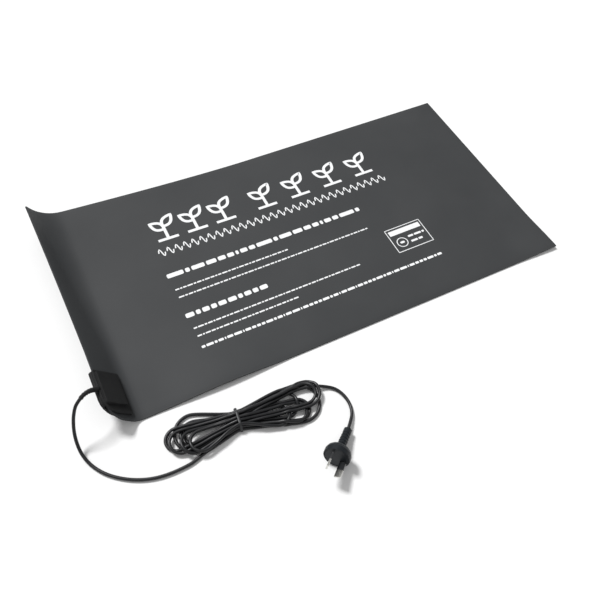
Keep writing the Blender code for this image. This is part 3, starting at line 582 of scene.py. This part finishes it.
# Each fold: the x that it reaches, y of its two runs, and z of the near run, the fold and the far run.
RIGHT_FOLDS = [(79.0, -19.4, 18.2, 1.7, 1.7, 1.7), (67.0, -16.4, 4.2, 1.7, 1.7, 1.7),
               (58.0, -9.0, 15.2, 1.8, 6.6, 1.8), (77.0, -4.0, 16.6, 8.6, 8.4, 6.5),
               (81.5, -7.0, 18.6, 8.4, 8.2, 5.0), (64.0, -18.6, 2.0, 5.0, 5.0, 5.0),
               (47.0, -15.2, 5.4, 5.0, 5.0, 5.0)]
LEFT_FOLDS = [(-60.0, -17.4, 19.8, 1.7, 1.7, 1.7), (-55.0, -13.8, 12.2, 1.7, 1.7, 1.7),
              (-69.0, -11.2, 9.6, 5.0, 5.0, 5.0), (-65.4, -14.6, 6.4, 5.4, 8.2, 8.2),
              (-55.5, -17.8, 3.6, 5.0, 8.2, 8.2), (-47.5, -19.6, 1.0, 8.2, 8.2, 8.2),
              (-50.5, -11.4, 9.2, 1.7, 1.7, 1.7)]
HANK_START = [(-38.0, -20.4, 1.7), (-28.0, -16.6, 1.7), (-16.0, -12.4, 1.9)]
HANK_EXIT = [(20.0, 5.6, 5.4), (40.0, 9.8, 5.0), (55.0, 12.4, 5.0), (66.0, 13.4, 5.0), (75.0, 12.2, 4.9),
             (83.0, 10.2, 3.9)]
# Half the length of each straight run through the waist, also in millimetres.
WAIST_HALF = 3.0
FOLD_STEPS = 8
CURVE_STEPS = 24


def fold(apex, near, far, z_near, z_apex, z_far, rising):
    """Points round one fold, from its near run to its far one, or the other way."""
    side = 1.0 if apex > 0 else -1.0
    middle, half = (near + far) / 2, (far - near) / 2
    points = []
    for step in range(FOLD_STEPS + 1):
        angle = math.pi * (step / FOLD_STEPS - 0.5)
        turn = math.sin(angle)
        z = z_apex + (z_far - z_apex) * max(0.0, turn) + (z_near - z_apex) * max(0.0, -turn)
        points.append((apex - side * half * (1.0 - math.cos(angle)), middle + half * turn, z))
    return points if rising else points[::-1]


def hank_route():
    points = list(HANK_START)
    for run, (y, z) in enumerate(WAIST):
        rightward = run % 2 == 0
        points.append((-WAIST_HALF if rightward else WAIST_HALF, y, z))
        points.append((WAIST_HALF if rightward else -WAIST_HALF, y, z))
        if run < len(WAIST) - 1:
            points += fold(*(RIGHT_FOLDS if rightward else LEFT_FOLDS)[run // 2], rightward)
    points += HANK_EXIT
    return [tuple(value / 1000 for value in point) for point in points]


def resample(points, step):
    """Evenly spaced points on a smooth curve through the given ones."""
    knots = np.array([tuple(point) for point in points], float)
    knots = np.concatenate([[2 * knots[0] - knots[1]], knots, [2 * knots[-1] - knots[-2]]])
    gaps = np.maximum(np.linalg.norm(np.diff(knots, axis=0), axis=1), 1e-6) ** 0.5
    time = np.concatenate([[0.0], np.cumsum(gaps)])
    line = []
    for i in range(1, len(knots) - 2):
        t0, t1, t2, t3 = time[i - 1:i + 3]
        p0, p1, p2, p3 = knots[i - 1:i + 3]
        t = np.linspace(t1, t2, CURVE_STEPS, endpoint=False)[:, None]
        a1 = (t1 - t) / (t1 - t0) * p0 + (t - t0) / (t1 - t0) * p1
        a2 = (t2 - t) / (t2 - t1) * p1 + (t - t1) / (t2 - t1) * p2
        a3 = (t3 - t) / (t3 - t2) * p2 + (t - t2) / (t3 - t2) * p3
        b1 = (t2 - t) / (t2 - t0) * a1 + (t - t0) / (t2 - t0) * a2
        b2 = (t3 - t) / (t3 - t1) * a2 + (t - t1) / (t3 - t1) * a3
        line.append((t2 - t) / (t2 - t1) * b1 + (t - t1) / (t2 - t1) * b2)
    line = np.concatenate(line + [knots[-2][None]])
    length = np.concatenate([[0.0], np.cumsum(np.linalg.norm(np.diff(line, axis=0), axis=1))])
    places = np.linspace(0.0, length[-1], max(2, int(round(length[-1] / step)) + 1))
    return np.stack([np.interp(places, length, line[:, axis]) for axis in range(3)], 1)


def push(points, a, b, move, share):
    """Move both ends of each pair apart, averaged where several moves meet."""
    total = np.zeros_like(points)
    count = np.zeros(len(points))
    np.add.at(total, a, move * share[a][:, None])
    np.add.at(total, b, -move * share[b][:, None])
    np.add.at(count, a, 1.0)
    np.add.at(count, b, 1.0)
    points += total / np.maximum(count, 1.0)[:, None]


def lengths_of(gaps):
    """The length of each gap, and never quite zero."""
    return np.maximum(np.linalg.norm(gaps, axis=1), 1e-7)


def close_pairs(points, order, apart):
    """Pairs of places that are near each other, but not neighbours along the line."""
    gap = points[:, None, :] - points[None, :, :]
    near = (gap ** 2).sum(2) < (PAIR_REACH * CORD_DIAMETER) ** 2
    return np.nonzero(near & ((order[None, :] - order[:, None]) > apart))


def part_turns(points, first, second, share):
    """Push apart the pairs that are closer than the cord is thick."""
    gap = points[first] - points[second]
    far = lengths_of(gap)
    need = np.maximum(CORD_DIAMETER * TURN_CLEARANCE - far, 0.0)
    hit = need > 0
    move = (gap[hit] / far[hit][:, None]) * (need[hit] * PART_SHARE)[:, None]
    push(points, first[hit], second[hit], move, share)


def open_bends(points, order, span, least, share):
    """Push apart the ends of every span that is bent more tightly than a fold."""
    gap = points[:-span] - points[span:]
    far = lengths_of(gap)
    need = np.maximum(least - far, 0.0)
    push(points, order[:-span], order[span:], gap / far[:, None] * (need * BEND_SHARE)[:, None], share)


def calm_drift(drift, strength):
    """Bring each place's drift closer to its neighbours' drift."""
    for reach in CALM_REACHES:
        calm = drift.copy()
        calm[reach:-reach] = (drift[:-2 * reach] + drift[2 * reach:] + 2 * drift[reach:-reach]) / 4
        drift += strength * (calm - drift)


def even_steps(points, order, step, share):
    """Bring neighbours along the line back to one step from each other."""
    for parity in (0, 1):
        pick = order[:-1][parity::2]
        gap = points[pick + 1] - points[pick]
        far = lengths_of(gap)
        move = gap * ((far - step) / far * 0.5)[:, None]
        points[pick] += move * share[pick][:, None]
        points[pick + 1] -= move * share[pick + 1][:, None]


def settle(line, held, rounds):
    """Relax the turns, so that they overlap and bend sharply as little as possible."""
    points, order = line.copy(), np.arange(len(line))
    share = np.where(held, 0.0, 1.0)
    step = float(np.median(np.linalg.norm(np.diff(line, axis=0), axis=1)))
    spans = [(k, 2 * FOLD_RADIUS * math.sin(k * step / (2 * FOLD_RADIUS))) for k in BEND_SPANS]
    apart = int(round(OWN_REACH * CORD_DIAMETER / step))
    reach = TIE_INNER[0] - CORD_RADIUS
    for turn in range(rounds):
        late = turn >= rounds * LATE
        pull = HOME_PULL * (HOME_PULL_START - turn / rounds)
        points[:, :2] += share[:, None] * (line[:, :2] - points[:, :2]) * pull
        points[:, 2] -= share * SINK
        if turn % PAIR_ROUNDS == 0:
            first, second = close_pairs(points, order, apart)
        for _ in range(3 if late else 1):
            part_turns(points, first, second, share)
        for span, least in spans * (2 if late else 1):
            open_bends(points, order, span, least, share)
        drift = (points - line) * share[:, None]
        calm_drift(drift, CALM_START * (1.0 - turn / rounds) + CALM_END)
        points = np.where(held[:, None], points, line + drift)
        for _ in range(3):
            even_steps(points, order, step, share)
        tied = (np.abs(points[:, 0]) < TIED_HALF) & ~held
        points[tied, 1] = np.clip(points[tied, 1], -reach, reach)
        points[tied, 2] = np.clip(points[tied, 2], TIE_FLOOR + CORD_RADIUS, TIE_INNER[1] - CORD_RADIUS)
        points[:, 2] = np.where(held, points[:, 2], np.clip(points[:, 2], CORD_RADIUS, HANK_TOP))
    return points


def hank_matrix():
    return Matrix.Translation((*HANK_WAIST, 0.0)) @ Matrix.Rotation(HANK_TURN, 4, "Z")


def plug_matrix():
    turn = Matrix.Rotation(PLUG_AZIMUTH, 4, "Z") @ Matrix.Rotation(math.pi / 2 - PLUG_TILT, 4, "Y")
    return Matrix.Translation(PLUG_FRONT) @ turn @ Matrix.Rotation(math.pi / 2 + PLUG_ROLL, 4, "Z")


def cord_exit():
    """The box's frame, and the point where the cord leaves the box's wall."""
    box = Matrix.Translation(mat_point(0.0, 0.0)) @ Matrix.Rotation(RAMP_ANGLE, 4, "Y")
    return box, box @ Vector((CORD_EXIT_X, CORD_EXIT_Y, CORD_EXIT_Z))


def settled_hank():
    """The hank's line in its own frame, settled and then smoothed a little."""
    line = resample(hank_route(), CORD_STEP)
    held = np.zeros(len(line), bool)
    held[:HELD_POINTS] = True
    held[-HELD_POINTS:] = True
    line = settle(line, held, SETTLE_ROUNDS)
    for _ in range(SMOOTHINGS):
        line[1:-1] = (line[:-2] + 2 * line[1:-1] + line[2:]) / 4
    return line


def build_cord(materials):
    """The whole cord, in one line from inside the box's wall into the plug's strain relief."""
    hank = settled_hank()
    place = hank_matrix()
    turns = [tuple(place @ Vector(point)) for point in hank]
    box, leaving = cord_exit()
    start = box @ Vector((CORD_START_X, CORD_EXIT_Y, CORD_EXIT_Z))
    relief_end = plug_matrix() @ Vector((0.0, 0.0, -RELIEF_END + RELIEF_OVERLAP))
    lead = [tuple(start), tuple(leaving)] + BOOT_ROUTE[:-1] + LEAD_ROUTE
    tail = TAIL_ROUTE + [tuple(relief_end)]
    route = resample(lead + turns + tail, CORD_STEP)
    route[:, 2] = np.maximum(route[:, 2], CORD_RADIUS)
    length = float(np.linalg.norm(np.diff(route, axis=0), axis=1).sum())
    curve = bpy.data.curves.new("supply_cord", "CURVE")
    curve.dimensions = "3D"
    curve.bevel_depth = CORD_RADIUS
    curve.bevel_resolution = 4
    curve.use_fill_caps = True
    spline = curve.splines.new("POLY")
    spline.points.add(len(route) - 1)
    for point, position in zip(spline.points, route):
        point.co = (*position, 1.0)
    spline.use_smooth = True
    cord = bpy.data.objects.new("supply_cord", curve)
    finish_piece(cord, materials["cord_sheath"])
    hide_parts("supply_cord_lead", "supply_cord_hank", "supply_cord_tail")
    return cord, leaving, length, hank


def tube_piece(name, points, radii, sides=20):
    """A closed tube of changing radius along a line."""
    points = [Vector(point) for point in points]
    verts, faces = [], []
    side = None
    for index, point in enumerate(points):
        along = (points[min(index + 1, len(points) - 1)] - points[max(index - 1, 0)]).normalized()
        if side is None:
            side = along.orthogonal().normalized()
        side = (side - along * side.dot(along)).normalized()
        other = along.cross(side)
        for step in range(sides):
            angle = math.tau * step / sides
            verts.append(point + (side * math.cos(angle) + other * math.sin(angle)) * radii[index])
        if index:
            a, b = (index - 1) * sides, index * sides
            faces += [(a + k, a + (k + 1) % sides, b + (k + 1) % sides, b + k) for k in range(sides)]
    faces.append(tuple(reversed(range(sides))))
    faces.append(tuple(range((len(points) - 1) * sides, len(points) * sides)))
    item = mesh_piece(name, verts, faces)
    item.data.set_sharp_from_angle(angle=math.radians(45.0))
    return item


def build_boot(materials):
    """The tapered strain relief at the box, with rings that let it bend."""
    box, _ = cord_exit()
    points = [box @ Vector((x, CORD_EXIT_Y, CORD_EXIT_Z)) for x, _ in BOOT_PROFILE]
    radii = [radius for _, radius in BOOT_PROFILE]
    outer = resample([points[-1]] + BOOT_ROUTE, BOOT_STEP)
    count = len(outer) - 1
    ring_start, ring_end = BOOT_RINGED
    for index in range(1, count + 1):
        along = index / count
        radius = BOOT_SHOULDER + (BOOT_TIP - BOOT_SHOULDER) * along
        ring = 0.5 + 0.5 * math.cos(math.tau * along * BOOT_RINGS)
        radii.append(radius - BOOT_RING_DEPTH * ring * (ring_start < along < ring_end))
        points.append(Vector(outer[index]))
    boot = tube_piece("junction_boot", points, radii)
    finish_piece(boot, materials["junction_plastic"])
    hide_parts("junction_strain_relief")
    return boot


def hull(points):
    """The convex hull of points in a plane, anticlockwise."""
    points = sorted(set(points))
    halves = []
    for row in (points, points[::-1]):
        half = []
        for point in row:
            while len(half) > 1 and ((half[-1][0] - half[-2][0]) * (point[1] - half[-2][1])
                                     - (half[-1][1] - half[-2][1]) * (point[0] - half[-2][0])) <= 0:
                half.pop()
            half.append(point)
        halves.append(half[:-1])
    return halves[0] + halves[1]


def tie_loop(hank):
    """Evenly spaced points round the turns at the waist, with the direction outward at each."""
    waist = hank[np.abs(hank[:, 0]) < TIE_SLICE]
    clear = CORD_RADIUS + TIE_CLEARANCE
    ring = [(round(y + clear * math.cos(a), 7), round(z + clear * math.sin(a), 7))
            for _, y, z in waist for a in np.linspace(0, math.tau, 24, endpoint=False)]
    loop = hull(ring)
    closed = np.array(loop + [loop[0]])
    length = np.concatenate([[0.0], np.cumsum(np.linalg.norm(np.diff(closed, axis=0), axis=1))])
    places = np.linspace(0.0, length[-1], TIE_POINTS + 1)[:-1]
    even = np.stack([np.interp(places, length, closed[:, axis]) for axis in range(2)], 1)
    for _ in range(TIE_SMOOTHINGS):
        even = (np.roll(even, 1, 0) + 2 * even + np.roll(even, -1, 0)) / 4
    outward = np.roll(even, -1, 0) - np.roll(even, 1, 0)
    outward = np.stack([outward[:, 1], -outward[:, 0]], 1)
    return even, outward / np.linalg.norm(outward, axis=1)[:, None]


def build_tie_band(materials, even, outward):
    place, verts, faces = hank_matrix(), [], []
    for index in range(len(even)):
        rib = TIE_RIB if index % 2 else 0.0
        for x, height in TIE_SECTION:
            lift = height + (rib if height > TIE_RIB_FROM else 0.0)
            y, z = even[index] + outward[index] * lift
            verts.append(place @ Vector((x, y, max(TIE_LOWEST, z))))
    size, number = len(TIE_SECTION), len(even)
    for index in range(number):
        a, b = index * size, (index + 1) % number * size
        faces += [(a + k, b + k, b + (k + 1) % size, a + (k + 1) % size) for k in range(size)]
    band = mesh_piece("hank_tie_band", verts, faces)
    finish_piece(band, materials["tie_plastic"])
    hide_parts("hank_tie")
    return band


def build_tie_head(materials, at):
    """The head as a rounded block, with the end of the strap through it."""
    shape = bmesh.new()
    bmesh.ops.create_cube(shape, size=1.0)
    long, deep, tall = TIE_HEAD
    for vert in shape.verts:
        vert.co = Vector((vert.co.x * long, vert.co.y * deep, vert.co.z * tall))
    bmesh.ops.bevel(shape, geom=list(shape.edges), offset=TIE_HEAD_BEVEL, segments=3, profile=0.5,
                    affect="EDGES")
    long, deep, tall = STRAP_END
    for vert in bmesh.ops.create_cube(shape, size=1.0)["verts"]:
        vert.co = Vector((vert.co.x * long, vert.co.y * deep + STRAP_END_OUT, vert.co.z * tall))
    mesh = bpy.data.meshes.new("hank_tie_head")
    shape.to_mesh(mesh)
    shape.free()
    mesh.shade_smooth()
    mesh.set_sharp_from_angle(angle=math.radians(40.0))
    head = bpy.data.objects.new("hank_tie_head", mesh)
    mesh.transform(hank_matrix() @ Matrix.Translation((0.0, at[0] + TIE_HEAD_OUT, at[1])))
    finish_piece(head, materials["tie_plastic"])
    return head


def build_tie(materials, hank):
    """A thin band drawn tight round the turns, with its head on the far side."""
    even, outward = tie_loop(hank)
    band = build_tie_band(materials, even, outward)
    head = build_tie_head(materials, even[even[:, 0].argmax()])
    return band, head


# ---------------------------------------------------------------- camera, floor and light

def build_camera():
    camera_data = bpy.data.cameras.new("camera")
    camera_data.sensor_width = CAMERA_SENSOR
    camera_data.lens = CAMERA_LENS
    camera = bpy.data.objects.new("camera", camera_data)
    bpy.context.scene.collection.objects.link(camera)
    bpy.context.scene.camera = camera
    level = math.cos(CAMERA_DOWN)
    view = Vector((level * math.sin(CAMERA_TURN), level * math.cos(CAMERA_TURN), -math.sin(CAMERA_DOWN)))
    camera.rotation_mode = "QUATERNION"
    rolled = Matrix.Rotation(CAMERA_ROLL, 4, "Z").to_quaternion()
    camera.rotation_quaternion = view.to_track_quat("-Z", "Y") @ rolled
    camera.location = CAMERA_PLACE


def build_floor():
    corners = [(x * FLOOR_HALF, y * FLOOR_HALF, 0) for x, y in ((-1, -1), (1, -1), (1, 1), (-1, 1))]
    floor = mesh_piece("floor", corners, [(0, 1, 2, 3)], smooth=False)
    floor.data.materials.append(speckled("floor_white", (0.90, 0.90, 0.90), (0.91, 0.91, 0.91), 0.5, 0.01,
                                         0.00001, (0.85, 0.95)))
    bpy.context.scene.collection.objects.link(floor)


def build_light():
    sun_data = bpy.data.lights.new("key", "SUN")
    sun_data.energy = SUN_STRENGTH
    sun_data.angle = SUN_WIDTH
    sun = bpy.data.objects.new("key", sun_data)
    sun.rotation_mode = "QUATERNION"
    sun.rotation_quaternion = Vector(SUN_DIRECTION).to_track_quat("-Z", "Y")
    bpy.context.scene.collection.objects.link(sun)
    world = bpy.data.worlds.new("studio")
    world.use_nodes = True
    world.node_tree.nodes["Background"].inputs["Color"].default_value = (1.0, 1.0, 1.0, 1.0)
    world.node_tree.nodes["Background"].inputs["Strength"].default_value = SKY_STRENGTH
    bpy.context.scene.world = world
    bpy.context.scene.view_settings.view_transform = "Standard"


def build_stage():
    build_camera()
    build_floor()
    build_light()


# ---------------------------------------------------------------- the whole

def dress_nodes(frame, materials):
    """Give every CAD node that stays shown its finished material."""
    slots = {part["node"]: part["material_slot"] for part in frame["record"]["subparts"]}
    for name, node in frame["nodes"].items():
        node.data.materials.clear()
        sleeved = name in ("pin_live_sleeve", "pin_neutral_sleeve")
        node.data.materials.append(materials["pin_sleeve" if sleeved else slots[name]])


def main():
    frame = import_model()
    build_stage()
    materials = make_materials()
    dress_nodes(frame, materials)
    cord, leaving, length, hank = build_cord(materials)
    boot = build_boot(materials)
    band, head = build_tie(materials, hank)
    build_covers(materials)
    build_print(materials)


main()
